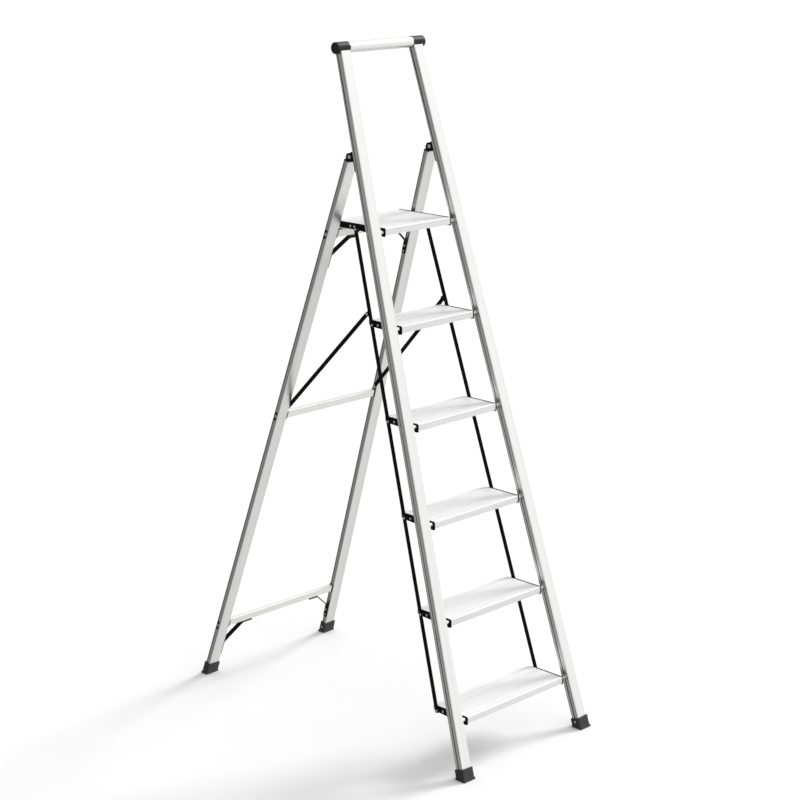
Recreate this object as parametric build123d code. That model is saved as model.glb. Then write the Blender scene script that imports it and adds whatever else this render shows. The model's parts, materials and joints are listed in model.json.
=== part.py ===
"""Aluminium step ladder with five treads, a platform and a hand bar.

Frame: +Z up, +X to the climber's right, +Y from the climber's side to the back. The origin is at
floor level under the middle of the ladder's box. All lengths are millimetres. Parts of the right
side are built first and the left ones are their mirror images in the plane X = 0.

Folding: closing the rear frame pushes the braces and link bars up, and they turn every tread and
the platform up between the stiles. The braces' top pivots are open (see BRACE TOP below).
"""
import os
from math import atan, cos, degrees, radians, sin, sqrt

from build123d import *

os.makedirs("parts", exist_ok=True)

# ---------------------------------------------------------------- driving dimensions
TREAD_PITCH = 240.0          # rise from one tread to the next
FIRST_TREAD_TOP = 144.0
TREAD_COUNT = 5              # ordinary treads below the platform

FRONT_HALF_WIDTH = 244.3     # outer face of a stile, at the floor
FRONT_TAPER = 0.0546         # a stile comes in by this much for each mm of height
FRONT_LEAN = 0.2987          # and goes back by this much
STILE_WIDTH, STILE_DEPTH = 33.0, 23.2

REAR_SPREAD = 1004.6         # front face of a stile to front face of a leg, at the floor
REAR_HALF_WIDTH = 246.0
REAR_TAPER = 0.0550
REAR_LEAN = 0.338
LEG_WIDTH, LEG_DEPTH = 35.8, 15.4

SIDE_WALL, FACE_WALL = 2.4, 1.8   # walls of the box sections
STILE_CORNER, LEG_CORNER, INNER_CORNER = 2.5, 2.0, 1.0

FOOT_WALL = 3.0              # rubber round the end of a stile or leg
FOOT_HEIGHT = 31.0
FOOT_SOLE = 3.0              # rubber under it
FOOT_LIP = 4.5               # how far the foot's edge on the floor stands out
FOOT_LIP_HEIGHT = 4.0
FOOT_CORNER = 3.0
FOOT_RIVET_HEIGHT = 17.5
SOCKET_FIT = 0.2             # a foot's socket is this much larger than the member in it

HANDLE_HEIGHT = 1788.5       # axis of the hand bar
HANDLE_BACK = 12.0           # axis behind the stile's front face, measured level
TUBE_RADIUS, TUBE_WALL = 14.0, 1.6
HANDLE_CAP_RADIUS = 15.0
HANDLE_CAP_END, HANDLE_CAP_START = 156.0, 114.0
CAP_FLOOR = 8.0              # solid end of a cap
CAP_RIM, CAP_DISH, CAP_EDGE = 3.0, 0.8, 1.2
TONGUE_REACH = 55.0          # of a cap's tongue down the stile, from the hand bar's axis
CAP_RIVET_DROP = 32.0

TREAD_DEPTH = 120.0
TREAD_NOSE = 3.0             # front of a tread, behind the stile's front face
TREAD_HEIGHT = 17.5
TREAD_PLATE = 2.2
PLATFORM_DEPTH = 191.0
RIB_PITCH, RIB_GROOVE, RIB_GROOVE_DEPTH = 5.0, 1.4, 0.6
FIRST_RIB = 8.0              # middle of the first groove, behind the nose

PIVOT_BACK, PIVOT_DROP = 12.4, 6.5      # tread pivot from the stile's front face and tread top
PLATFORM_PIVOT_DROP = 9.5
CRANK = 92.5                 # tread pivot to link pin
CRANK_TILT = 14.5            # degrees above the normal to the stile, ladder open

# Layers across the gap between stile and tread, from the stile's inner face inwards
BRACE_LAYER = 7.3
LINK_LAYER = 9.7
BRACKET_LAYER = 16.7
TREAD_LAYER = 18.9
BAR_THICKNESS = 2.0
LINK_WIDTH, BRACE_WIDTH = 12.0, 11.0
LUG_BACK = 8.5               # brace top behind the middle of the link bar
LUG_RADIUS = 6.5
BRACE_TOP_SHANK = 2.45
BRACE_TOP_HEAD = (4.0, 1.4)  # radius and height

HINGE_HEIGHT = 1521.0        # main hinge, above the floor
HINGE_BACK = 37.7            # and behind the stile's front face, measured level
HINGE_X = 144.8
HINGE_OVER_LEG = 11.5        # and above the end of the leg
FLANGE_WALL, FLANGE_OFF = 2.5, 0.1      # flange of a hinge bracket, and its gap off the stile
FLANGE_BELOW, FLANGE_ABOVE = 32.0, 12.0
FLANGE_DROPS = (12.0, 24.0)  # its rivets, down the stile from the hinge
EAR_RADIUS, EAR_WALL, EAR_SPAN = 9.5, 3.0, 30.0
EAR_BELOW, EAR_ABOVE = 13.0, 11.0
HINGE_HEAD = (5.0, 1.8)      # radius and height
BRACE_FOOT_HEIGHT = 822.7    # lower brace pivot
BRACE_OFF_LEG = 0.4
BRACE_FOOT_HEADS = ((4.4, 1.4), (5.0, 1.6))   # in the leg and inside it: radius and height
CROSSBAR_HEIGHTS = {"bottom": 155.5, "middle": 802.0, "top": 1313.5}
CROSSBAR_TALL, CROSSBAR_DEEP = 20.0, 11.0
CROSSBAR_FLANGE = 2.2        # thickness of the end plug's flange, with its clearance
FLANGE_LIP, PLUG_LENGTH = 0.8, 24.0
SCREW_SPREAD = 8.0           # crossbar screws above and below its middle

CLOSING_ANGLE = 34.25        # the rear frame's travel, degrees
TREAD_RATIO = 2.0            # a tread turns this many times as far

PIN_RADIUS = 3.0
PIVOT_HEAD_RADIUS, HEAD_HEIGHT = 4.2, 1.2
SPACER_RADIUS, SPACER_PLAY = 5.0, 0.8
LINK_PIN_RADIUS, LINK_HEAD_RADIUS = 2.5, 3.6
SUNK_PIN, SINK = 4, 1.0      # tread whose link pins are sunk into the link bars, and how deep
LINK_COLLAR_RADIUS = 4.5     # of a link pin, between the link bar and the bracket
PIN_FIT = 0.06               # radial clearance of a pivot
GAP = 0.3                    # between faces that slide past each other
HOLE_FIT = 0.05              # radial clearance round a fixed pin or rivet
SLEEVE_FIT = 0.1             # radial clearance round the hand bar and its caps
PLUG_FIT = 0.6               # a plug is this much smaller than the cavity round it
LEAN_OFF = 0.45              # rivet head off a leaning face, so that it stays clear of it
PAST = 10.0                  # how far a cutter runs past the face that it opens

# Fixings: head radius, head height, shank radius, length of the shank
FOOT_RIVET = (3.3, 1.2, 2.0, 9.0)
CAP_RIVET = (2.6, 1.0, 1.8, 9.0)
KNEE_RIVET = (3.2, 1.3, 1.8, 8.0)
FLANGE_RIVET = (3.0, 1.2, 1.8, 3.5)
CROSSBAR_SCREW = (4.0, 1.4, 1.8, LEG_WIDTH + 2.4)

# ---------------------------------------------------------------- derived sizes
FRONT_SLANT = sqrt(1 + FRONT_LEAN**2)
REAR_SLANT = sqrt(1 + REAR_LEAN**2)
OVERALL_DEPTH = REAR_SPREAD + LEG_DEPTH * REAR_SLANT + 2 * FOOT_LIP
FRONT_Y = FOOT_LIP - OVERALL_DEPTH / 2
REAR_Y = FRONT_Y + REAR_SPREAD
FRONT_AXIS = Vector(-FRONT_TAPER, FRONT_LEAN, 1).normalized()
REAR_AXIS = Vector(-REAR_TAPER, -REAR_LEAN, 1).normalized()
UP_STILE = Vector(0, FRONT_LEAN, 1) / FRONT_SLANT
BEHIND_STILE = Vector(0, 1, -FRONT_LEAN) / FRONT_SLANT
CENTRED_LOW = (Align.CENTER, Align.CENTER, Align.MIN)
NAMES = ["tread_%d" % (i + 1) for i in range(TREAD_COUNT)] + ["platform"]


def front_y(z, back=0.0):
    """Level position `back` behind the stile's front face at height z."""
    return FRONT_Y + FRONT_LEAN * z + back


def rear_y(z, back=0.0):
    """Level position `back` behind the leg's front face at height z."""
    return REAR_Y - REAR_LEAN * z + back


def stile_x(z, inset=0.0):
    """Inner face of the right stile at height z, less `inset`."""
    return FRONT_HALF_WIDTH - FRONT_TAPER * z - STILE_WIDTH - inset


def leg_x(z, inset=0.0):
    """Inner face of the right leg at height z, less `inset`."""
    return REAR_HALF_WIDTH - REAR_TAPER * z - LEG_WIDTH - inset


def tread_top(index):
    return FIRST_TREAD_TOP + TREAD_PITCH * index


def tread_pivot(index):
    """Pivot of a tread (0 = lowest) as a point in the plane X = 0."""
    drop = PLATFORM_PIVOT_DROP if index == TREAD_COUNT else PIVOT_DROP
    z = tread_top(index) - drop
    return Vector(0, front_y(z, PIVOT_BACK), z)


def crank_arm(turn=0.0):
    """From a tread's pivot to its link pin, with the tread turned up by `turn` degrees."""
    angle = radians(CRANK_TILT + turn)
    return (UP_STILE * sin(angle) + BEHIND_STILE * cos(angle)) * CRANK


def link_pin(index):
    return tread_pivot(index) + crank_arm()


def tread_half(index):
    """Half the length of a tread: its end faces are square to X."""
    return stile_x(tread_pivot(index).Z, TREAD_LAYER)


def bracket_face(index):
    """Outer face of the right bracket of a tread."""
    return stile_x(tread_pivot(index).Z, BRACKET_LAYER)


HINGE = Vector(0, front_y(HINGE_HEIGHT, HINGE_BACK), HINGE_HEIGHT)
BRACE_FOOT = Vector(0, rear_y(BRACE_FOOT_HEIGHT, LEG_DEPTH / 2 * REAR_SLANT), BRACE_FOOT_HEIGHT)


def brace_top():
    """BRACE TOP: the point on the link bar where the brace has the same length open and closed.

    It lies LUG_BACK behind the middle of the bar. Between the ends of the travel the joints turn
    at constant ratios, so there the brace's head slides past the lug: this pivot is left open.
    """
    closed_foot = HINGE + (BRACE_FOOT - HINGE).rotate(Axis.X, -CLOSING_ANGLE)
    lift = crank_arm(TREAD_RATIO * CLOSING_ANGLE) - crank_arm()
    back = BEHIND_STILE * (link_pin(0).dot(BEHIND_STILE) + LUG_BACK)
    slope = closed_foot - BRACE_FOOT - lift
    target = ((closed_foot - lift).length**2 - BRACE_FOOT.length**2) / 2
    return back + UP_STILE * ((target - back.dot(slope)) / UP_STILE.dot(slope))


BRACE_TOP = brace_top()


# ---------------------------------------------------------------- building blocks
def shaft(x_start, x_end, at, radius):
    """Round bar along X."""
    return Pos(x_start, at.Y, at.Z) * Rot(0, 90, 0) * Cylinder(radius, x_end - x_start, align=CENTRED_LOW)


def button(x, at, radius, height, outward=1):
    """Rivet head on a face at x, rounded on the side that `outward` points to."""
    head = Cylinder(radius, height, align=CENTRED_LOW)
    head = fillet(head.edges().group_by(Axis.Z)[-1], 0.6 * height)
    return Pos(x, at.Y, at.Z) * Rot(0, 90 * outward, 0) * head


def rivet(fixing):
    """Rivet of a fixing: (face, point, head radius, head height, shank radius, depth, outward)."""
    face, at, head, height, radius, depth, outward = fixing
    ends = sorted((face, face - outward * depth))
    return button(face, at, head, height, outward) + shaft(*ends, at, radius)


def drilled(part, fixings):
    """A part with the holes that some fixings need."""
    for face, at, _, _, radius, depth, outward in fixings:
        ends = sorted((face + outward, face - outward * (depth + 2 * GAP)))
        part -= shaft(*ends, at, radius + HOLE_FIT)
    return part


def side_plate(outline, x_start, thickness):
    """Plate square to X from an outline drawn with y across and z up."""
    return extrude(Plane.YZ.offset(x_start) * outline, amount=thickness)


def side_point(at):
    return (at.Y, at.Z)


def across(axis):
    """Unit vector square to `axis`, as near to +X as it can be."""
    return (Vector(1, 0, 0) - axis * axis.X).normalized()


def member_plane(origin, axis, distance):
    """Section plane of a leaning member: x across it, y towards the back."""
    return Plane(origin=origin + axis * distance, x_dir=across(axis), z_dir=axis)


def box_section(width, depth, corner, grooves):
    """Hollow box with lengthwise grooves (distance from the front, width, depth) in both sides."""
    outline = RectangleRounded(width, depth, corner)
    for from_front, groove_width, groove_depth in grooves:
        cut = Rectangle(2 * groove_depth, groove_width)
        for side in (-1, 1):
            outline -= Pos(side * width / 2, from_front - depth / 2) * cut
    cavity = RectangleRounded(width - 2 * SIDE_WALL, depth - 2 * FACE_WALL, INNER_CORNER)
    return Pos(-width / 2, depth / 2) * (outline - cavity)


def mirrored(shape):
    return mirror(shape, about=Plane.YZ)


def both_sides(shapes):
    """A group of separate solids and their mirror images, as one node."""
    shapes = list(shapes)
    return Compound(children=[s.solid() for shape in shapes for s in (shape, mirrored(shape))])


def save(name, shape):
    shape.label = name
    export_step(shape, "parts/%s.step" % name)


def save_pair(name, right):
    """Write the right part and its mirror image."""
    save("right_" + name, right)
    save("left_" + name, mirrored(right))


# ---------------------------------------------------------------- front frame
FRONT_CORNER = Vector(FRONT_HALF_WIDTH, FRONT_Y, 0)
HANDLE = Vector(0, front_y(HANDLE_HEIGHT, HANDLE_BACK), HANDLE_HEIGHT)
STILE_GROOVES = [(15.5, 3.0, 1.2), (6.0, 1.2, 0.5)]
LEG_GROOVES = [(11.5, 2.4, 1.0), (4.5, 1.0, 0.5)]
UNDER_FLOOR = 60.0           # members are drawn this far below the floor and then trimmed


def trimmed(shape, lowest):
    """The part of a shape above the height `lowest`."""
    below = Pos(0, 0, lowest) * Box(1000, 3000, 500, align=(Align.CENTER, Align.CENTER, Align.MAX))
    return shape - below


def front_stile():
    """Right stile: coped to the hand bar's cap and drilled for the tread pivots."""
    section = box_section(STILE_WIDTH, STILE_DEPTH, STILE_CORNER, STILE_GROOVES)
    plane = member_plane(FRONT_CORNER, FRONT_AXIS, -UNDER_FLOOR)
    length = UNDER_FLOOR + (HANDLE_HEIGHT + HANDLE_BACK * FRONT_LEAN) * FRONT_SLANT
    stile = trimmed(extrude(plane * section, amount=length), FOOT_SOLE)
    stile -= shaft(0, HANDLE_CAP_END, HANDLE, HANDLE_CAP_RADIUS + SLEEVE_FIT)
    for index in range(TREAD_COUNT + 1):
        pivot = tread_pivot(index)
        ends = stile_x(pivot.Z, PAST), stile_x(pivot.Z, -STILE_WIDTH - PAST)
        stile -= shaft(*ends, pivot, PIN_RADIUS + HOLE_FIT)
    stile = drilled(stile, [foot_fixing(True), cap_fixing()])
    stile -= flange_holes()
    return max(stile.solids(), key=lambda s: s.volume)


def handle_tube():
    half = HANDLE_CAP_END - CAP_FLOOR - 2.0
    return shaft(-half, half, HANDLE, TUBE_RADIUS) - shaft(-half, half, HANDLE, TUBE_RADIUS - TUBE_WALL)


def handle_cap():
    """Right cap: a sleeve on the end of the tube, with a tongue down into the stile."""
    body = shaft(HANDLE_CAP_START, HANDLE_CAP_END, HANDLE, HANDLE_CAP_RADIUS)
    body = fillet(body.edges().group_by(Axis.X)[-1], CAP_EDGE)
    along = HANDLE_HEIGHT * FRONT_SLANT
    plane = member_plane(FRONT_CORNER, FRONT_AXIS, along - TONGUE_REACH)
    width, depth = STILE_WIDTH - 2 * SIDE_WALL - PLUG_FIT, STILE_DEPTH - 2 * FACE_WALL - PLUG_FIT
    tongue = Pos(-STILE_WIDTH / 2, STILE_DEPTH / 2) * RectangleRounded(width, depth, INNER_CORNER)
    body += extrude(plane * tongue, amount=TONGUE_REACH - 5.0)
    body -= shaft(HANDLE_CAP_START - PAST, HANDLE_CAP_END - CAP_FLOOR, HANDLE, TUBE_RADIUS + SLEEVE_FIT)
    body -= shaft(HANDLE_CAP_END - CAP_DISH, HANDLE_CAP_END, HANDLE, HANDLE_CAP_RADIUS - CAP_RIM)
    return drilled(body, [cap_fixing()])


def foot_fixing(front):
    """Rivet through the inner side of a right foot."""
    z = FOOT_RIVET_HEIGHT
    if front:
        return stile_x(z, FOOT_WALL + LEAN_OFF), Vector(0, front_y(z, STILE_DEPTH / 2), z), *FOOT_RIVET, -1
    at = Vector(0, rear_y(z, LEG_DEPTH / 2 * REAR_SLANT), z)
    return leg_x(z, FOOT_WALL + LEAN_OFF), at, *FOOT_RIVET, -1


def cap_fixing():
    """Rivet through the outer side of the right stile into the hand bar's cap."""
    at = HANDLE - UP_STILE * CAP_RIVET_DROP
    return stile_x(at.Z, -STILE_WIDTH - LEAN_OFF / 2), at, *CAP_RIVET, 1


def flange_points():
    """Centres of the rivet heads on the right hinge flange."""
    head = FLANGE_RIVET[1]
    face = HINGE - BEHIND_STILE * (HINGE_BACK / FRONT_SLANT - STILE_DEPTH - FLANGE_WALL - FLANGE_OFF - head / 2)
    for down in FLANGE_DROPS:
        yield Vector(HINGE_X, 0, 0) + face - UP_STILE * down


def flange_holes():
    """Cutters for the rivets of the right hinge flange."""
    hole = Cylinder(FLANGE_RIVET[2] + HOLE_FIT, 2 * (FLANGE_WALL + FLANGE_RIVET[3]))
    return [Plane(origin=at, z_dir=BEHIND_STILE) * hole for at in flange_points()]


def foot(corner, axis, width, depth, slant):
    """Rubber shoe round the lower end of a right-hand member, flat on the floor."""
    plane = member_plane(corner, axis, -UNDER_FLOOR)
    middle = Pos(-width / 2, depth / 2)
    length = UNDER_FLOOR + FOOT_HEIGHT * slant
    sleeve = middle * RectangleRounded(width + 2 * FOOT_WALL, depth + 2 * FOOT_WALL, FOOT_CORNER)
    shoe = trimmed(extrude(plane * sleeve, amount=length), 0)
    lip = Box(width + 2 * FOOT_LIP, depth * slant + 2 * FOOT_LIP, FOOT_LIP_HEIGHT, align=CENTRED_LOW)
    lip = fillet(lip.edges().filter_by(Axis.Z), FOOT_CORNER)
    shoe += Pos(corner.X - width / 2, corner.Y + depth * slant / 2, 0) * lip
    socket = middle * Rectangle(width + SOCKET_FIT, depth + SOCKET_FIT)
    shoe -= trimmed(extrude(plane * socket, amount=length), FOOT_SOLE)
    return drilled(shoe, [foot_fixing(axis == FRONT_AXIS)])


def hinge_bracket():
    """Right hinge bracket: a flange on the back of the stile and an ear each side of the leg cap."""
    along = HINGE.Z * FRONT_SLANT + (HINGE_BACK - STILE_DEPTH * FRONT_SLANT) * FRONT_LEAN / FRONT_SLANT
    plane = member_plane(FRONT_CORNER, FRONT_AXIS, along - FLANGE_BELOW)
    plate = RectangleRounded(STILE_WIDTH - 1.0, FLANGE_WALL, FLANGE_WALL / 3)
    flange = Pos(-STILE_WIDTH / 2, STILE_DEPTH + FLANGE_OFF + FLANGE_WALL / 2) * plate
    bracket = extrude(plane * flange, amount=FLANGE_BELOW + FLANGE_ABOVE)
    root = HINGE - BEHIND_STILE * (HINGE_BACK / FRONT_SLANT - STILE_DEPTH - FLANGE_WALL / 2)
    corners = [(-EAR_BELOW, 0), (EAR_ABOVE, 0), (EAR_ABOVE, 1), (-EAR_BELOW, 1)]
    points = [side_point(root + UP_STILE * up + BEHIND_STILE * back) for up, back in corners]
    base = make_face(Polyline(*points, close=True))
    ring = Pos(*side_point(HINGE)) * Circle(EAR_RADIUS)
    ear = make_hull([*base.edges(), *ring.edges()])
    ear -= Pos(*side_point(HINGE)) * Circle(PIN_RADIUS + HOLE_FIT)
    for x in (HINGE_X - EAR_SPAN / 2, HINGE_X + EAR_SPAN / 2 - EAR_WALL):
        bracket += side_plate(ear, x, EAR_WALL)
    return bracket - flange_holes()


def tread_pivot_pin(index):
    """Rivet from the stile's outer face to the inside of the tread bracket."""
    at = tread_pivot(index)
    outer, inner = stile_x(at.Z, -STILE_WIDTH - GAP), tread_half(index) - GAP
    return (shaft(inner, outer, at, PIN_RADIUS) + button(outer, at, PIVOT_HEAD_RADIUS, HEAD_HEIGHT)
            + button(inner, at, PIVOT_HEAD_RADIUS, HEAD_HEIGHT, -1))


def tread_spacer(index):
    """Sleeve that keeps the tread bracket off the stile."""
    at = tread_pivot(index)
    inner, outer = bracket_face(index) + SPACER_PLAY / 4, stile_x(at.Z, SPACER_PLAY * 3 / 4)
    return shaft(inner, outer, at, SPACER_RADIUS) - shaft(inner, outer, at, PIN_RADIUS + PIN_FIT)


def front_rivets():
    """Rivets through the front foot, under the hand bar and through the hinge flange."""
    yield rivet(foot_fixing(True))
    yield rivet(cap_fixing())
    head, height, shank, depth = FLANGE_RIVET
    for at in flange_points():
        rivet_shape = Cylinder(head, height) + Pos(0, 0, -depth) * Cylinder(shank, 2 * depth)
        yield Plane(origin=at, z_dir=BEHIND_STILE) * rivet_shape


# ---------------------------------------------------------------- rear frame
REAR_CORNER = Vector(REAR_HALF_WIDTH, REAR_Y, 0)
LEG_LENGTH = (HINGE_HEIGHT - HINGE_OVER_LEG) * REAR_SLANT


def rear_plane():
    """Plane of the legs' front faces: x across, y up the legs, normal towards the front."""
    return Plane(origin=(0, REAR_Y, 0), x_dir=(1, 0, 0), z_dir=(0, -1, -REAR_LEAN))


def up_leg(z):
    """Distance up the leg's front face to the height z."""
    return z * REAR_SLANT


def rear_leg():
    section = box_section(LEG_WIDTH, LEG_DEPTH, LEG_CORNER, LEG_GROOVES)
    plane = member_plane(REAR_CORNER, REAR_AXIS, -UNDER_FLOOR)
    leg = trimmed(extrude(plane * section, amount=UNDER_FLOOR + LEG_LENGTH), FOOT_SOLE)
    inside = leg_x(BRACE_FOOT.Z)
    leg -= shaft(inside - PAST, inside + PAST, BRACE_FOOT, PIN_RADIUS + HOLE_FIT)
    fixings = [foot_fixing(False)]
    for z in CROSSBAR_HEIGHTS.values():
        fixings += crossbar_fixings(z)
    for name in KNEES:
        fixings += knee_fixings(name)
    return drilled(leg, fixings)


LEG_CAP_THICK, LEG_CAP_PLUG = 3.0, 28.0
TONGUE_BACK = ((12.5, 8.0), (17.5, -1.0), (16.6, -6.2), (3.0, -10.8))   # behind and above the hinge


def rear_leg_cap():
    """Black end piece of the right leg; its tongue turns between the ears of the hinge bracket."""
    plane = member_plane(REAR_CORNER, REAR_AXIS, LEG_LENGTH)
    middle = Pos(-LEG_WIDTH / 2, LEG_DEPTH / 2)
    outline = middle * RectangleRounded(LEG_WIDTH, LEG_DEPTH, LEG_CORNER)
    cap = extrude(plane * outline, amount=LEG_CAP_THICK)
    plug = Rectangle(LEG_WIDTH - 2 * SIDE_WALL - PLUG_FIT, LEG_DEPTH - 2 * FACE_WALL - PLUG_FIT)
    cap += extrude(plane * (middle * plug), amount=-LEG_CAP_PLUG)
    back = make_face(Polyline(*TONGUE_BACK, close=True))
    tongue = make_hull([*Circle(EAR_RADIUS - GAP).edges(), *back.edges()]) - Circle(PIN_RADIUS + PIN_FIT)
    width = EAR_SPAN - 2 * EAR_WALL - 2 * GAP
    return cap + side_plate(Pos(*side_point(HINGE)) * tongue, HINGE_X - width / 2, width)


def hinge_pin():
    inner, outer = HINGE_X - EAR_SPAN / 2 - 0.1, HINGE_X + EAR_SPAN / 2 + 0.1
    return (shaft(inner, outer, HINGE, PIN_RADIUS) + button(outer, HINGE, *HINGE_HEAD)
            + button(inner, HINGE, *HINGE_HEAD, -1))


def rear_crossbar(z):
    """Box section between the legs, its ends cut to their taper, less the end plugs' flanges."""
    low, high = z - CROSSBAR_TALL / 2, z + CROSSBAR_TALL / 2
    inset = CROSSBAR_FLANGE + 0.1
    ends = [(leg_x(low, inset), up_leg(low)), (leg_x(high, inset), up_leg(high))]
    outline = make_face(Polyline(ends[0], ends[1], (-ends[1][0], ends[1][1]),
                                 (-ends[0][0], ends[0][1]), close=True))
    plane = rear_plane().offset(-(LEG_DEPTH - CROSSBAR_DEEP) / 2)
    bar = extrude(plane * outline, amount=-CROSSBAR_DEEP)
    bar = fillet(bar.edges().filter_by(Axis.X), INNER_CORNER)
    cavity = Pos(0, up_leg(z)) * Rectangle(3 * REAR_HALF_WIDTH, CROSSBAR_TALL * REAR_SLANT - 2 * FACE_WALL)
    return bar - extrude(plane.offset(-FACE_WALL) * cavity, amount=2 * FACE_WALL - CROSSBAR_DEEP)


def crossbar_plug(z):
    """Black plug with a flange between the crossbar and the right leg."""
    low, high = z - CROSSBAR_TALL / 2 - FLANGE_LIP, z + CROSSBAR_TALL / 2 + FLANGE_LIP
    corners = [(low, CROSSBAR_FLANGE), (low, 0.1), (high, 0.1), (high, CROSSBAR_FLANGE)]
    outline = make_face(Polyline(*[(leg_x(at, inset), up_leg(at)) for at, inset in corners], close=True))
    plug = extrude(rear_plane() * outline, amount=-LEG_DEPTH)
    tall = CROSSBAR_TALL * REAR_SLANT - 2 * FACE_WALL - PLUG_FIT
    core = Pos(leg_x(z, 1 + PLUG_LENGTH / 2), up_leg(z)) * Rectangle(PLUG_LENGTH, tall)
    deep = CROSSBAR_DEEP - 2 * FACE_WALL - PLUG_FIT
    plug += extrude(rear_plane().offset(-(LEG_DEPTH - deep) / 2) * core, amount=-deep)
    return drilled(plug, crossbar_fixings(z))


def crossbar_fixings(z):
    """Two screws through the right leg into the flange of the crossbar's plug."""
    fixings = []
    middle = z + LEG_DEPTH / 2 * REAR_LEAN / REAR_SLANT
    for height in (middle - SCREW_SPREAD, middle + SCREW_SPREAD):
        at = Vector(0, rear_y(height, LEG_DEPTH / 2 * REAR_SLANT), height)
        fixings.append((leg_x(at.Z, -LEG_WIDTH - LEAN_OFF), at, *CROSSBAR_SCREW, 1))
    return fixings


# Knee braces: (height range on the leg, height and x of the bend, x of the end)
KNEES = {"bottom": ((54.0, 93.0), (142.5, 145.0), 112.0), "top": ((1220.0, 1254.0), (1295.5, 86.0), 58.0)}
STRAP, STRAP_WIDTH, STRAP_BEND = 3.0, 12.0, 6.0
STRAP_RIVETS = (0.25, 0.68)  # shares of the upright end


def knee_route(span, bend, end_x):
    """Middle line of a right knee brace in the plane of the rear frame."""
    (low, high), (bend_z, bend_x) = span, bend
    half = STRAP / 2 + 0.1
    return [(leg_x(low, half), up_leg(low)), (leg_x(high, half), up_leg(high)),
            (bend_x, up_leg(bend_z)), (end_x, up_leg(bend_z))]


def knee_brace(name):
    """Bent flat strap from the leg's inner face to the underside of a crossbar."""
    path = FilletPolyline(*knee_route(*KNEES[name]), radius=STRAP_BEND)
    outline = trace(path, STRAP)
    plane = rear_plane().offset((STRAP_WIDTH - LEG_DEPTH) / 2)
    strap = extrude(plane * outline, amount=-STRAP_WIDTH)
    return drilled(strap, knee_fixings(name))


def knee_fixings(name):
    """Two rivets through the upright end of a right knee brace into the leg."""
    low, high = KNEES[name][0]
    fixings = []
    for share in STRAP_RIVETS:
        z = low + share * (high - low)
        at = Vector(0, rear_y(z, LEG_DEPTH / 2 * REAR_SLANT), z)
        fixings.append((leg_x(z, STRAP + LEAN_OFF), at, *KNEE_RIVET, -1))
    return fixings


def rear_rivets():
    """Rivets of the right rear foot and of the right knee braces."""
    yield rivet(foot_fixing(False))
    for name in KNEES:
        for fixing in knee_fixings(name):
            yield rivet(fixing)


def brace_x(at_top):
    """Middle plane of the right brace at its top or at its foot."""
    if at_top:
        return stile_x(BRACE_TOP.Z, BRACE_LAYER + BAR_THICKNESS / 2)
    return leg_x(BRACE_FOOT.Z, BRACE_OFF_LEG + BAR_THICKNESS / 2)


def brace_foot_pin():
    inner, outer = brace_x(False) - BAR_THICKNESS / 2 - GAP, leg_x(BRACE_FOOT.Z, -SIDE_WALL - GAP)
    hidden, shown = BRACE_FOOT_HEADS
    return (shaft(inner, outer, BRACE_FOOT, PIN_RADIUS) + button(outer, BRACE_FOOT, *hidden)
            + button(inner, BRACE_FOOT, *shown, -1))


# ---------------------------------------------------------------- link bars and braces
def flat_bar(start, end, width, ends=()):
    """Round-ended flat bar between two points in its middle plane, with extra lugs.

    Each lug is (distance along, distance towards the back, radius).
    """
    axis = (end - start).normalized()
    outline = SlotCenterToCenter((end - start).length, width)
    outline = Pos((end - start).length / 2, 0) * outline
    for along, back, radius in ends:
        outline += Pos(along, -back) * Circle(radius)
    plane = Plane(origin=start, x_dir=axis, z_dir=across(axis)).offset(-BAR_THICKNESS / 2)
    return extrude(plane * outline, amount=BAR_THICKNESS)


def link_point(index):
    """Where the middle plane of the right link bar meets the link pin of a tread."""
    at = link_pin(index)
    return Vector(stile_x(at.Z, LINK_LAYER + BAR_THICKNESS / 2), at.Y, at.Z)


def link_bar():
    start, end = link_point(0), link_point(TREAD_COUNT)
    along = (BRACE_TOP - link_pin(0)).dot(UP_STILE) * (end - start).length / (
        link_pin(TREAD_COUNT) - link_pin(0)).length
    lugs = [(along, LUG_BACK, LUG_RADIUS), (along, LUG_BACK / 2, LUG_RADIUS)]
    bar = flat_bar(start, end, LINK_WIDTH, lugs)
    for index in range(TREAD_COUNT + 1):
        x = link_point(index).X
        bar -= shaft(x - PAST, x + PAST, link_pin(index), LINK_PIN_RADIUS + HOLE_FIT)
        if index == SUNK_PIN:
            sunk = x + BAR_THICKNESS / 2 - SINK
            bar -= shaft(sunk, x + PAST, link_pin(index), LINK_HEAD_RADIUS + GAP)
    return bar - shaft(brace_x(True) - PAST, brace_x(True) + PAST, BRACE_TOP, PIN_RADIUS)


def link_pin_rivet(index):
    """Rivet through the link bar and a tread bracket, with a collar between them.

    The braces sweep over the sunk ones.
    """
    at, middle = link_pin(index), link_point(index).X
    outer, head = middle + BAR_THICKNESS / 2 + 0.25, HEAD_HEIGHT
    if index == SUNK_PIN:
        outer, head = middle + BAR_THICKNESS / 2 - SINK + 0.1, HEAD_HEIGHT / 2
    inner = tread_half(index) - GAP
    collar = shaft(bracket_face(index) + GAP, middle - BAR_THICKNESS / 2 - GAP, at, LINK_COLLAR_RADIUS)
    return (shaft(inner, outer, at, LINK_PIN_RADIUS) + collar + button(outer, at, LINK_HEAD_RADIUS, head)
            + button(inner, at, LINK_HEAD_RADIUS, HEAD_HEIGHT, -1))


def brace():
    foot_end = Vector(brace_x(False), BRACE_FOOT.Y, BRACE_FOOT.Z)
    top_end = Vector(brace_x(True), BRACE_TOP.Y, BRACE_TOP.Z)
    bar = flat_bar(foot_end, top_end, BRACE_WIDTH)
    bar -= shaft(foot_end.X - PAST, foot_end.X + PAST, BRACE_FOOT, PIN_RADIUS + PIN_FIT)
    return bar - shaft(top_end.X - PAST, top_end.X + PAST, BRACE_TOP, BRACE_TOP_SHANK + HOLE_FIT)


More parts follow.
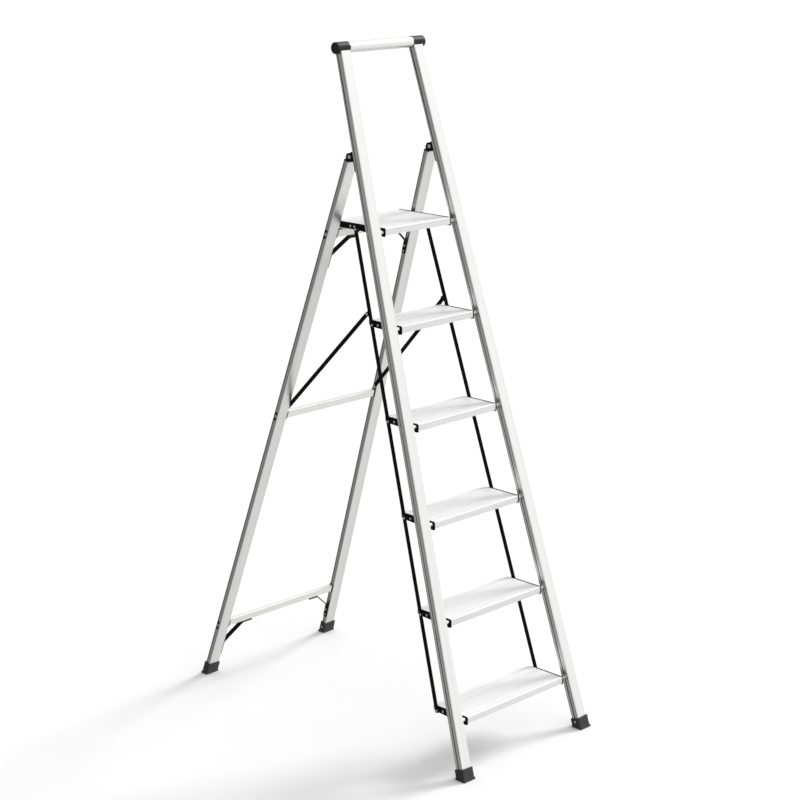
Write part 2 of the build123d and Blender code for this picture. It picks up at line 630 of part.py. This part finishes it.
def brace_top_rivet():
    """Head on the outer face of the brace; it stops short of the link bar behind it."""
    face = brace_x(True) + BAR_THICKNESS / 2 + LEAN_OFF
    shank = shaft(face - BAR_THICKNESS, face, BRACE_TOP, BRACE_TOP_SHANK)
    return shank + button(face, BRACE_TOP, *BRACE_TOP_HEAD)


# ---------------------------------------------------------------- treads and platform
SCREW_DROP, PLATFORM_SCREW_DROP = 9.6, 8.1
SCREW_RADIUS, SCREW_HEAD_RADIUS = 2.0, 3.5
SCREW_SUNK, SCREW_PROUD = 1.1, 0.9      # parts of a screw's head in the bracket and outside it
SCREW_LENGTH = 20.0
SCREW_BOSS = 3.8             # radius of a screw port in a tread
FRONT_SCREW = (19.0, -SCREW_DROP)       # behind the tread's nose, and up from its top
TREAD_WALL, LIP_WALL = 2.0, 1.8
NOSE_LIP, REAR_LIP = 7.0, 6.0
REAR_RISE = 3.5              # the tread's back edge is this much shorter than its nose
RIB_PLACES = (0.36, 0.64)    # stiffening ribs under a tread, as shares of its depth
STIFFENER_HEIGHT, STIFFENER_FOOT = 10.0, 7.0
EDGE_RADIUS = 1.9
BRACKET_RISE, BRACKET_FRONT = 1.2, 1.5  # bracket above the tread's top and before its nose
BRACKET_HEIGHT, PLATFORM_BRACKET_REAR = 22.5, 16.5
BRACKET_PAST_PIN, BRACKET_BELOW_PIN = 7.5, 6.5


def tread_screw_points(index):
    """Bracket screws of a tread: (behind the nose, up from its top)."""
    link_back = link_pin(index).Y - front_y(tread_top(index)) - TREAD_NOSE
    if index < TREAD_COUNT:
        return [FRONT_SCREW, (link_back - 15.0, -SCREW_DROP)]
    rear = [(link_back + back, -PLATFORM_SCREW_DROP) for back in (12.0, 27.0)]
    return [FRONT_SCREW, *rear]


def tread_profile(depth, screws):
    """Section of a tread: origin at the top of its nose, x towards the back, y up."""
    rear_height = TREAD_HEIGHT - REAR_RISE
    low, rear_low = LIP_WALL - TREAD_HEIGHT, LIP_WALL - rear_height
    section = block(0, depth, -TREAD_PLATE, 0)
    section += block(0, TREAD_WALL, -TREAD_HEIGHT, 0) + block(0, NOSE_LIP, -TREAD_HEIGHT, low)
    section += block(depth - TREAD_WALL, depth, -rear_height, 0)
    section += block(depth - REAR_LIP, depth, -rear_height, rear_low)
    for share in RIB_PLACES:
        half, foot_half, at = LIP_WALL / 2, STIFFENER_FOOT / 2, depth * share
        section += block(at - half, at + half, -STIFFENER_HEIGHT, 0)
        section += block(at - foot_half, at + foot_half, -STIFFENER_HEIGHT, LIP_WALL - STIFFENER_HEIGHT)
    for back, up in screws:
        section += block(back - TREAD_WALL / 2, back + TREAD_WALL / 2, up, 0)
        section += Pos(back, up) * Circle(SCREW_BOSS)
    corners = section.vertices().group_by(Axis.Y)[-1].sort_by(Axis.X)
    section = fillet([corners[0], corners[-1]], EDGE_RADIUS)
    for back, up in screws:
        section -= Pos(back, up) * Circle(SCREW_RADIUS + 2 * HOLE_FIT)
    for i in range(int((depth - 2 * FIRST_RIB) / RIB_PITCH) + 1):
        section -= Pos(FIRST_RIB + i * RIB_PITCH, 0) * Rectangle(RIB_GROOVE, 2 * RIB_GROOVE_DEPTH)
    return section


def block(x_start, x_end, low, high):
    """Rectangle from its edges."""
    return Pos((x_start + x_end) / 2, (low + high) / 2) * Rectangle(x_end - x_start, high - low)


def tread(index):
    depth = PLATFORM_DEPTH if index == TREAD_COUNT else TREAD_DEPTH
    half = tread_half(index)
    section = tread_profile(depth, tread_screw_points(index))
    nose = Vector(0, front_y(tread_top(index), TREAD_NOSE), tread_top(index))
    return side_plate(Pos(*side_point(nose)) * section, -half, 2 * half)


def tread_bracket(index):
    """Black steel plate on the right end of a tread, from its nose to past the link pin."""
    pivot, pin = tread_pivot(index), link_pin(index)
    top = tread_top(index) + BRACKET_RISE
    low_front = top - BRACKET_HEIGHT
    front = front_y(tread_top(index), TREAD_NOSE - BRACKET_FRONT)
    back, low_back = pin.Y + BRACKET_PAST_PIN, pin.Z - BRACKET_BELOW_PIN
    if index == TREAD_COUNT:
        back = front_y(tread_top(index), TREAD_NOSE) + PLATFORM_DEPTH + 1.0
        low_back = top - PLATFORM_BRACKET_REAR
    corners = Polyline((front, top), (back, top), (back, low_back), (pin.Y - 4, low_back),
                       (pin.Y - 40, low_front + 3), (pivot.Y, low_front), (front, low_front), close=True)
    outline = make_face(corners)
    outline = fillet(outline.vertices().sort_by(Axis.X)[:2], 4.0)
    outline = fillet(outline.vertices().sort_by(Axis.X)[-2:], 5.0)
    outline += Pos(*side_point(pin)) * Circle(BRACKET_PAST_PIN - 0.5)
    outline -= Pos(*side_point(pivot)) * Circle(PIN_RADIUS + PIN_FIT)
    outline -= Pos(*side_point(pin)) * Circle(LINK_PIN_RADIUS + PIN_FIT)
    outer = bracket_face(index)
    plate = side_plate(outline, tread_half(index) + 0.05, outer - tread_half(index) - 0.05)
    for at in screw_positions(index):
        plate -= shaft(outer - PAST, outer + PAST, at, SCREW_RADIUS + HOLE_FIT)
        plate -= shaft(outer - SCREW_SUNK, outer + PAST, at, SCREW_HEAD_RADIUS + 2 * HOLE_FIT)
    return plate


def screw_positions(index):
    for back, up in tread_screw_points(index):
        yield Vector(0, front_y(tread_top(index), TREAD_NOSE + back), tread_top(index) + up)


def tread_screws(index):
    """Half-sunk screws of the right bracket, low enough for the link bar to clear them."""
    outer = bracket_face(index)
    face = outer - SCREW_SUNK + HOLE_FIT
    for at in screw_positions(index):
        head = button(face, at, SCREW_HEAD_RADIUS, SCREW_SUNK + SCREW_PROUD)
        yield head + shaft(outer - SCREW_LENGTH, face, at, SCREW_RADIUS)


# ---------------------------------------------------------------- write the parts
def main():
    levels = range(TREAD_COUNT + 1)
    save_pair("front_stile", front_stile())
    save("handle_tube", handle_tube())
    save_pair("handle_cap", handle_cap())
    save_pair("front_foot", foot(FRONT_CORNER, FRONT_AXIS, STILE_WIDTH, STILE_DEPTH, FRONT_SLANT))
    save_pair("hinge_bracket", hinge_bracket())
    save("tread_pivot_pins", both_sides(tread_pivot_pin(i) for i in levels))
    save("tread_spacers", both_sides(tread_spacer(i) for i in levels))
    save("front_rivets", both_sides(front_rivets()))
    save("hinge_pins", both_sides([hinge_pin()]))

    save_pair("rear_leg", rear_leg())
    save_pair("rear_leg_cap", rear_leg_cap())
    save_pair("rear_foot", foot(REAR_CORNER, REAR_AXIS, LEG_WIDTH, LEG_DEPTH, REAR_SLANT))
    for name, z in CROSSBAR_HEIGHTS.items():
        save("rear_crossbar_" + name, rear_crossbar(z))
    save("crossbar_plugs", both_sides(crossbar_plug(z) for z in CROSSBAR_HEIGHTS.values()))
    screws = [rivet(f) for z in CROSSBAR_HEIGHTS.values() for f in crossbar_fixings(z)]
    save("crossbar_screws", both_sides(screws))
    for name in KNEES:
        save_pair("knee_brace_" + name, knee_brace(name))
    save("rear_rivets", both_sides(rear_rivets()))
    save("brace_foot_pins", both_sides([brace_foot_pin()]))

    save_pair("link_bar", link_bar())
    save("link_pins", both_sides(link_pin_rivet(i) for i in levels))
    save_pair("brace", brace())
    save("brace_top_rivets", both_sides([brace_top_rivet()]))

    for index, name in enumerate(NAMES):
        save(name, tread(index))
        save_pair(name + "_bracket", tread_bracket(index))
        save(name + "_screws", both_sides(tread_screws(index)))


main()
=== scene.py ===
"""Looks of the step ladder: materials, floor, light and camera.

Everything is in metres in the row frame: +Z up, +X to the climber's right, +Y to the back.
"""
import json
from math import radians

import bpy
import numpy as np
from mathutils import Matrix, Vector

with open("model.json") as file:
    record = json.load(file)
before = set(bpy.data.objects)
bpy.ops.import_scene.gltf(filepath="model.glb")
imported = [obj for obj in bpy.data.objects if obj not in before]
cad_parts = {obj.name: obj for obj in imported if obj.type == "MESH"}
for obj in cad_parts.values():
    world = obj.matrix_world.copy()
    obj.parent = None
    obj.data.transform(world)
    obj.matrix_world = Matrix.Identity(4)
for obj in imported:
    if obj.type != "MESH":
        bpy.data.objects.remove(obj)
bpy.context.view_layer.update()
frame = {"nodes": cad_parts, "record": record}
nodes = frame["nodes"]

MM = 0.001

# The treads and the platform: each is named like the body it belongs to
TREADS = [name for name in frame["record"]["behaviour"]["bodies"] if name in nodes]

# Base colours of the aluminium
TREAD_METAL = (0.93, 0.93, 0.935)
STILE_METAL = (0.84, 0.84, 0.825)
LEG_METAL = (0.73, 0.73, 0.72)
PLAIN_METAL = (0.80, 0.80, 0.785)
STREAK_SHADE = 0.94          # colour of the darker streaks, as a share of the base colour
FRONT_SHADE = 0.20           # how much greyer a tread's front face is than its top: painted shade

# Side grooves: distance behind the front face and width in mm, darkness of the painted shade in them
STILE_GROOVES = ((15.5, 3.4, 1.0), (6.0, 1.4, 0.5))
LEG_GROOVES = ((11.5, 2.6, 0.7), (4.5, 1.2, 0.4))
GROOVE_SHADE = (0.01, 0.01, 0.01, 1)

# Grain: repeats per metre across a member and along it
DIE_LINES, STREAKS, RUBBED = (900, 2.0), (120, 0.8), (160, 30)

DUST_HEIGHT = 12 * MM        # how far up the feet the dust reaches

FLOOR_SIZE, FLOOR_DROP = 400, 0.2 * MM
BRIGHT_SIDE = Vector((0.75, -0.55, 0.35)).normalized()
WORLD_STOPS = ((0.0, 0.28), (0.3, 0.43), (0.62, 0.92), (1.0, 1.08))   # away from it to towards it
KEY_DIRECTION = Vector((-1.46, 0.14, -1.0))
KEY_ENERGY, KEY_ANGLE = 2.1, 19
CAMERA_PLACE = (-3.6418, -3.6579, 2.2167)
CAMERA_TURN = (75.22, 0, -45.184)
SENSOR_WIDTH, LENS, CLIP_END = 36, 90.17, 1000


# ---------------------------------------------------------------- node helpers
class Shading:
    """A material with a Principled shader, and short ways to add nodes to it."""

    def __init__(self, name, metallic):
        self.material = bpy.data.materials.new(name)
        self.material.use_nodes = True
        self.tree = self.material.node_tree
        self.shader = self.tree.nodes["Principled BSDF"]
        self.set("Metallic", metallic)

    def add(self, kind, inputs, **options):
        """New node; inputs maps a socket's name or number to a value or another node's output."""
        node = self.tree.nodes.new("ShaderNode" + kind)
        for option, value in options.items():
            setattr(node, option, value)
        for socket, value in inputs.items():
            self.feed(node.inputs[socket], value)
        return node

    def feed(self, socket, value):
        if isinstance(value, bpy.types.NodeSocket):
            self.tree.links.new(value, socket)
        else:
            socket.default_value = value

    def set(self, socket, value):
        self.feed(self.shader.inputs[socket], value)

    def position(self):
        """The point in the row frame; it stays with the piece when the piece moves."""
        return self.add("TexCoord", {}).outputs["Object"]

    def dot(self, vector, direction):
        return self.add("VectorMath", {0: vector, 1: direction}, operation="DOT_PRODUCT").outputs["Value"]

    def maths(self, operation, *values):
        return self.add("Math", dict(enumerate(values)), operation=operation).outputs[0]

    def mix(self, share, first, second):
        return self.add("Mix", {0: share, 6: first, 7: second}, data_type="RGBA").outputs[2]

    def along_grain(self, along, scales):
        """Coordinates that are fine across a direction and long along it."""
        across_scale, along_scale = scales
        along = Vector(along).normalized()
        side = along.orthogonal().normalized()
        axes = (side * across_scale, along.cross(side) * across_scale, along * along_scale)
        place = self.position()
        parts = [self.dot(place, axis) for axis in axes]
        return self.add("CombineXYZ", dict(enumerate(parts))).outputs[0]

    def noise(self, vector, scale, detail):
        inputs = {"Vector": vector, "Scale": scale, "Detail": detail, "Roughness": 0.6}
        return self.add("TexNoise", inputs).outputs["Fac"]

    def between(self, factor, low, high, start=0.3, end=0.7):
        """Number that runs from low to high as factor runs from start to end."""
        inputs = {"Value": factor, "From Min": start, "From Max": end, "To Min": low, "To Max": high}
        return self.add("MapRange", inputs).outputs[0]

    def colours(self, factor, *stops):
        """Colour ramp from (place, colour) stops."""
        ramp = self.add("ValToRGB", {"Fac": factor})
        fill_ramp(ramp, stops)
        return ramp.outputs[0]

    def relief(self, height, depth):
        """Bump the surface by a depth in mm."""
        self.set("Normal", self.add("Bump", {"Height": height, "Distance": depth * MM}).outputs[0])

    def painted_front_shade(self, base_colour):
        """Paint shade on the faces that look towards the climber: a darker colour standing in for the
        lesser light that falls on them.
        """
        normal = self.add("TexCoord", {}).outputs["Normal"]
        facing = self.dot(normal, (0, -1, 0))
        share = self.between(facing, 0.0, FRONT_SHADE, start=0.3, end=0.9)
        return self.mix(share, base_colour, (0, 0, 0, 1))

    def groove_shade(self, base_colour, behind, front, places):
        """Paint shade into grooves by darkening a colour; places holds (distance behind the front face,
        width, darkness).
        """
        depth = self.dot(self.position(), behind)
        colour = base_colour
        for distance, width, darkness in places:
            inside = self.maths("COMPARE", depth, front + distance * MM, width / 2 * MM)
            colour = self.mix(self.maths("MULTIPLY", inside, darkness), colour, GROOVE_SHADE)
        return colour


def fill_ramp(ramp, stops):
    """Set a colour ramp's stops from (place, colour) pairs."""
    elements = ramp.color_ramp.elements
    while len(elements) < len(stops):
        elements.new(0.5)
    for element, (place, colour) in zip(elements, stops):
        element.position = place
        element.color = (*colour, 1)


def long_axis(node):
    """Direction that a node runs in, from the spread of its vertices."""
    points = np.array([v.co for v in nodes[node].data.vertices])
    return Vector(np.linalg.svd(points - points.mean(0), full_matrices=False)[2][0])


def front_plane(node):
    """Square to a leaning member, towards the back, and where its front face lies that way."""
    along = long_axis(node)
    behind = Vector((0, along.z, -along.y)).normalized()
    behind *= 1 if behind.y > 0 else -1
    return behind, min(behind.dot(v.co) for v in nodes[node].data.vertices)


def paint(node, shading):
    """Give a CAD node one material."""
    data = nodes[node].data
    data.materials.clear()
    data.materials.append(shading.material)


# ---------------------------------------------------------------- materials
def aluminium(name, along, colour, rough=0.34, metallic=1.0, grooves=()):
    """Extruded aluminium: die lines along the member, cloudy anodising, painted shade in its side grooves.
    """
    m = Shading(name, metallic)
    lines = m.noise(m.along_grain(along, DIE_LINES), 1.0, detail=4.0)
    streaks = m.noise(m.along_grain(along, STREAKS), 1.0, detail=2.0)
    cloud = m.noise(m.position(), 14.0, detail=2.0)
    dark = tuple(c * STREAK_SHADE for c in colour)
    base_colour = m.colours(streaks, (0.32, dark), (0.62, colour))
    # Painted shade: a tread's front face gets a darker colour for the lesser light that falls on it.
    if name in TREADS:
        base_colour = m.painted_front_shade(base_colour)
    # Painted shade: dark lines in the side grooves stand in for the shade inside them.
    if grooves:
        base_colour = m.groove_shade(base_colour, *front_plane(name), grooves)
    m.set("Base Color", base_colour)
    mottled = m.maths("ADD", m.between(lines, -0.05, 0.06), m.between(cloud, -0.03, 0.03))
    m.set("Roughness", m.maths("ADD", mottled, rough))
    m.relief(lines, 0.02)
    return m


def black_coating(name, along):
    """Satin black coated steel with a faint orange peel and rubbed places."""
    m = Shading(name, metallic=0.0)
    m.set("Specular IOR Level", 0.08)
    peel = m.noise(m.position(), 900.0, detail=2.0)
    rubbed = m.noise(m.along_grain(along, RUBBED), 1.0, detail=5.0)
    m.set("Base Color", m.colours(rubbed, (0.35, (0.002, 0.002, 0.002)), (0.72, (0.005, 0.005, 0.005))))
    m.set("Roughness", m.between(rubbed, 0.36, 0.50))
    m.relief(peel, 0.03)
    return m


def moulded_plastic(name):
    """Near-black moulding with a fine sparked texture."""
    m = Shading(name, metallic=0.0)
    m.set("Specular IOR Level", 0.3)
    spark = m.noise(m.position(), 1400.0, detail=3.0)
    cloud = m.noise(m.position(), 40.0, detail=2.0)
    m.set("Base Color", m.colours(cloud, (0.3, (0.006, 0.006, 0.007)), (0.7, (0.012, 0.012, 0.013))))
    m.set("Roughness", m.between(spark, 0.38, 0.50))
    m.relief(spark, 0.05)
    return m


def rubber(name):
    """Matt black rubber, a little grey with dust towards the floor."""
    m = Shading(name, metallic=0.0)
    grain = m.noise(m.position(), 700.0, detail=4.0)
    height = m.dot(m.position(), (0, 0, 1))
    dust = m.between(height, 1.0, 0.0, start=0.0, end=DUST_HEIGHT)
    patch = m.between(m.noise(m.position(), 180.0, detail=4.0), 0.0, 1.0)
    dusty = m.maths("MULTIPLY", dust, patch)
    m.set("Base Color", m.colours(dusty, (0.0, (0.020, 0.020, 0.024)), (1.0, (0.055, 0.055, 0.058))))
    m.set("Roughness", m.between(grain, 0.55, 0.72))
    m.relief(grain, 0.08)
    return m


def marked_metal(name, scale, detail, dark, light, roughness):
    """Metal whose small marks carry colour, roughness and relief alike."""
    m = Shading(name, metallic=1.0)
    marks = m.noise(m.position(), scale, detail)
    m.set("Base Color", m.colours(marks, (0.3, dark), (0.7, light)))
    m.set("Roughness", m.between(marks, *roughness))
    m.relief(marks, 0.02)
    return m


def paint_frame():
    plastic = moulded_plastic("plastic")
    sole = rubber("rubber")
    plated = marked_metal("rivet_steel", 1100.0, 4.0, (0.62, 0.62, 0.61), (0.80, 0.80, 0.79), (0.22, 0.36))
    oxide = marked_metal("black_screws", 900.0, 3.0, (0.02, 0.02, 0.022), (0.04, 0.04, 0.042), (0.25, 0.40))
    for name in nodes:
        if name.endswith("_cap") or name == "crossbar_plugs":
            paint(name, plastic)
        elif name.endswith("_foot"):
            paint(name, sole)
        elif name == "crossbar_screws":
            paint(name, oxide)
        elif name.endswith(("_pins", "_rivets", "_spacers", "_screws")):
            paint(name, plated)
        elif name in TREADS:
            paint(name, aluminium(name, (1, 0, 0), TREAD_METAL, rough=0.50, metallic=0.2))
        elif name.endswith("_stile"):
            paint(name, aluminium(name, long_axis(name), STILE_METAL, grooves=STILE_GROOVES))
        elif name.endswith("_leg"):
            paint(name, aluminium(name, long_axis(name), LEG_METAL, grooves=LEG_GROOVES))
        elif name.endswith("_tube") or name.startswith("rear_crossbar"):
            paint(name, aluminium(name, long_axis(name), PLAIN_METAL))
        else:
            paint(name, black_coating(name, long_axis(name)))


# ---------------------------------------------------------------- floor, light and camera
def add_floor():
    """Pale studio floor that runs to the horizon."""
    bpy.ops.mesh.primitive_plane_add(size=FLOOR_SIZE, location=(0, 0, -FLOOR_DROP))
    floor = bpy.context.object
    floor.name = "floor"
    m = Shading("floor", metallic=0.0)
    m.set("Roughness", 0.9)
    m.set("Specular IOR Level", 0.0)
    grain = m.noise(m.position(), 3.0, detail=2.0)
    m.set("Base Color", m.colours(grain, (0.3, (0.86, 0.86, 0.86)), (0.7, (0.88, 0.88, 0.88))))
    floor.data.materials.append(m.material)
    floor.visible_glossy = False


def add_world():
    """Soft studio surroundings: bright on the climber's right and front, dimmer behind on the left."""
    world = bpy.data.worlds.new("studio")
    bpy.context.scene.world = world
    world.use_nodes = True
    tree = world.node_tree
    place = tree.nodes.new("ShaderNodeTexCoord")
    dot = tree.nodes.new("ShaderNodeVectorMath")
    dot.operation = "DOT_PRODUCT"
    dot.inputs[1].default_value = BRIGHT_SIDE
    spread = tree.nodes.new("ShaderNodeMapRange")
    spread.inputs["From Min"].default_value = -1.0
    ramp = tree.nodes.new("ShaderNodeValToRGB")
    fill_ramp(ramp, [(at, (grey, grey, grey)) for at, grey in WORLD_STOPS])
    tree.links.new(place.outputs["Generated"], dot.inputs[0])
    tree.links.new(dot.outputs["Value"], spread.inputs["Value"])
    tree.links.new(spread.outputs[0], ramp.inputs[0])
    tree.links.new(ramp.outputs[0], tree.nodes["Background"].inputs["Color"])


def add_key():
    """Large soft key light from the climber's right."""
    data = bpy.data.lights.new("key", "SUN")
    data.energy = KEY_ENERGY
    data.angle = radians(KEY_ANGLE)
    key = bpy.data.objects.new("key", data)
    key.rotation_euler = KEY_DIRECTION.to_track_quat("-Z", "Y").to_euler()
    bpy.context.scene.collection.objects.link(key)


def add_camera():
    """Camera in front of the ladder on the climber's left, a little above the top."""
    data = bpy.data.cameras.new("camera")
    data.sensor_width = SENSOR_WIDTH
    data.lens = LENS
    data.clip_end = CLIP_END
    camera = bpy.data.objects.new("camera", data)
    camera.location = CAMERA_PLACE
    camera.rotation_euler = [radians(turn) for turn in CAMERA_TURN]
    bpy.context.scene.collection.objects.link(camera)
    bpy.context.scene.camera = camera


def main():
    paint_frame()
    add_floor()
    add_world()
    add_key()
    add_camera()
    bpy.context.scene.view_settings.view_transform = "Standard"


main()
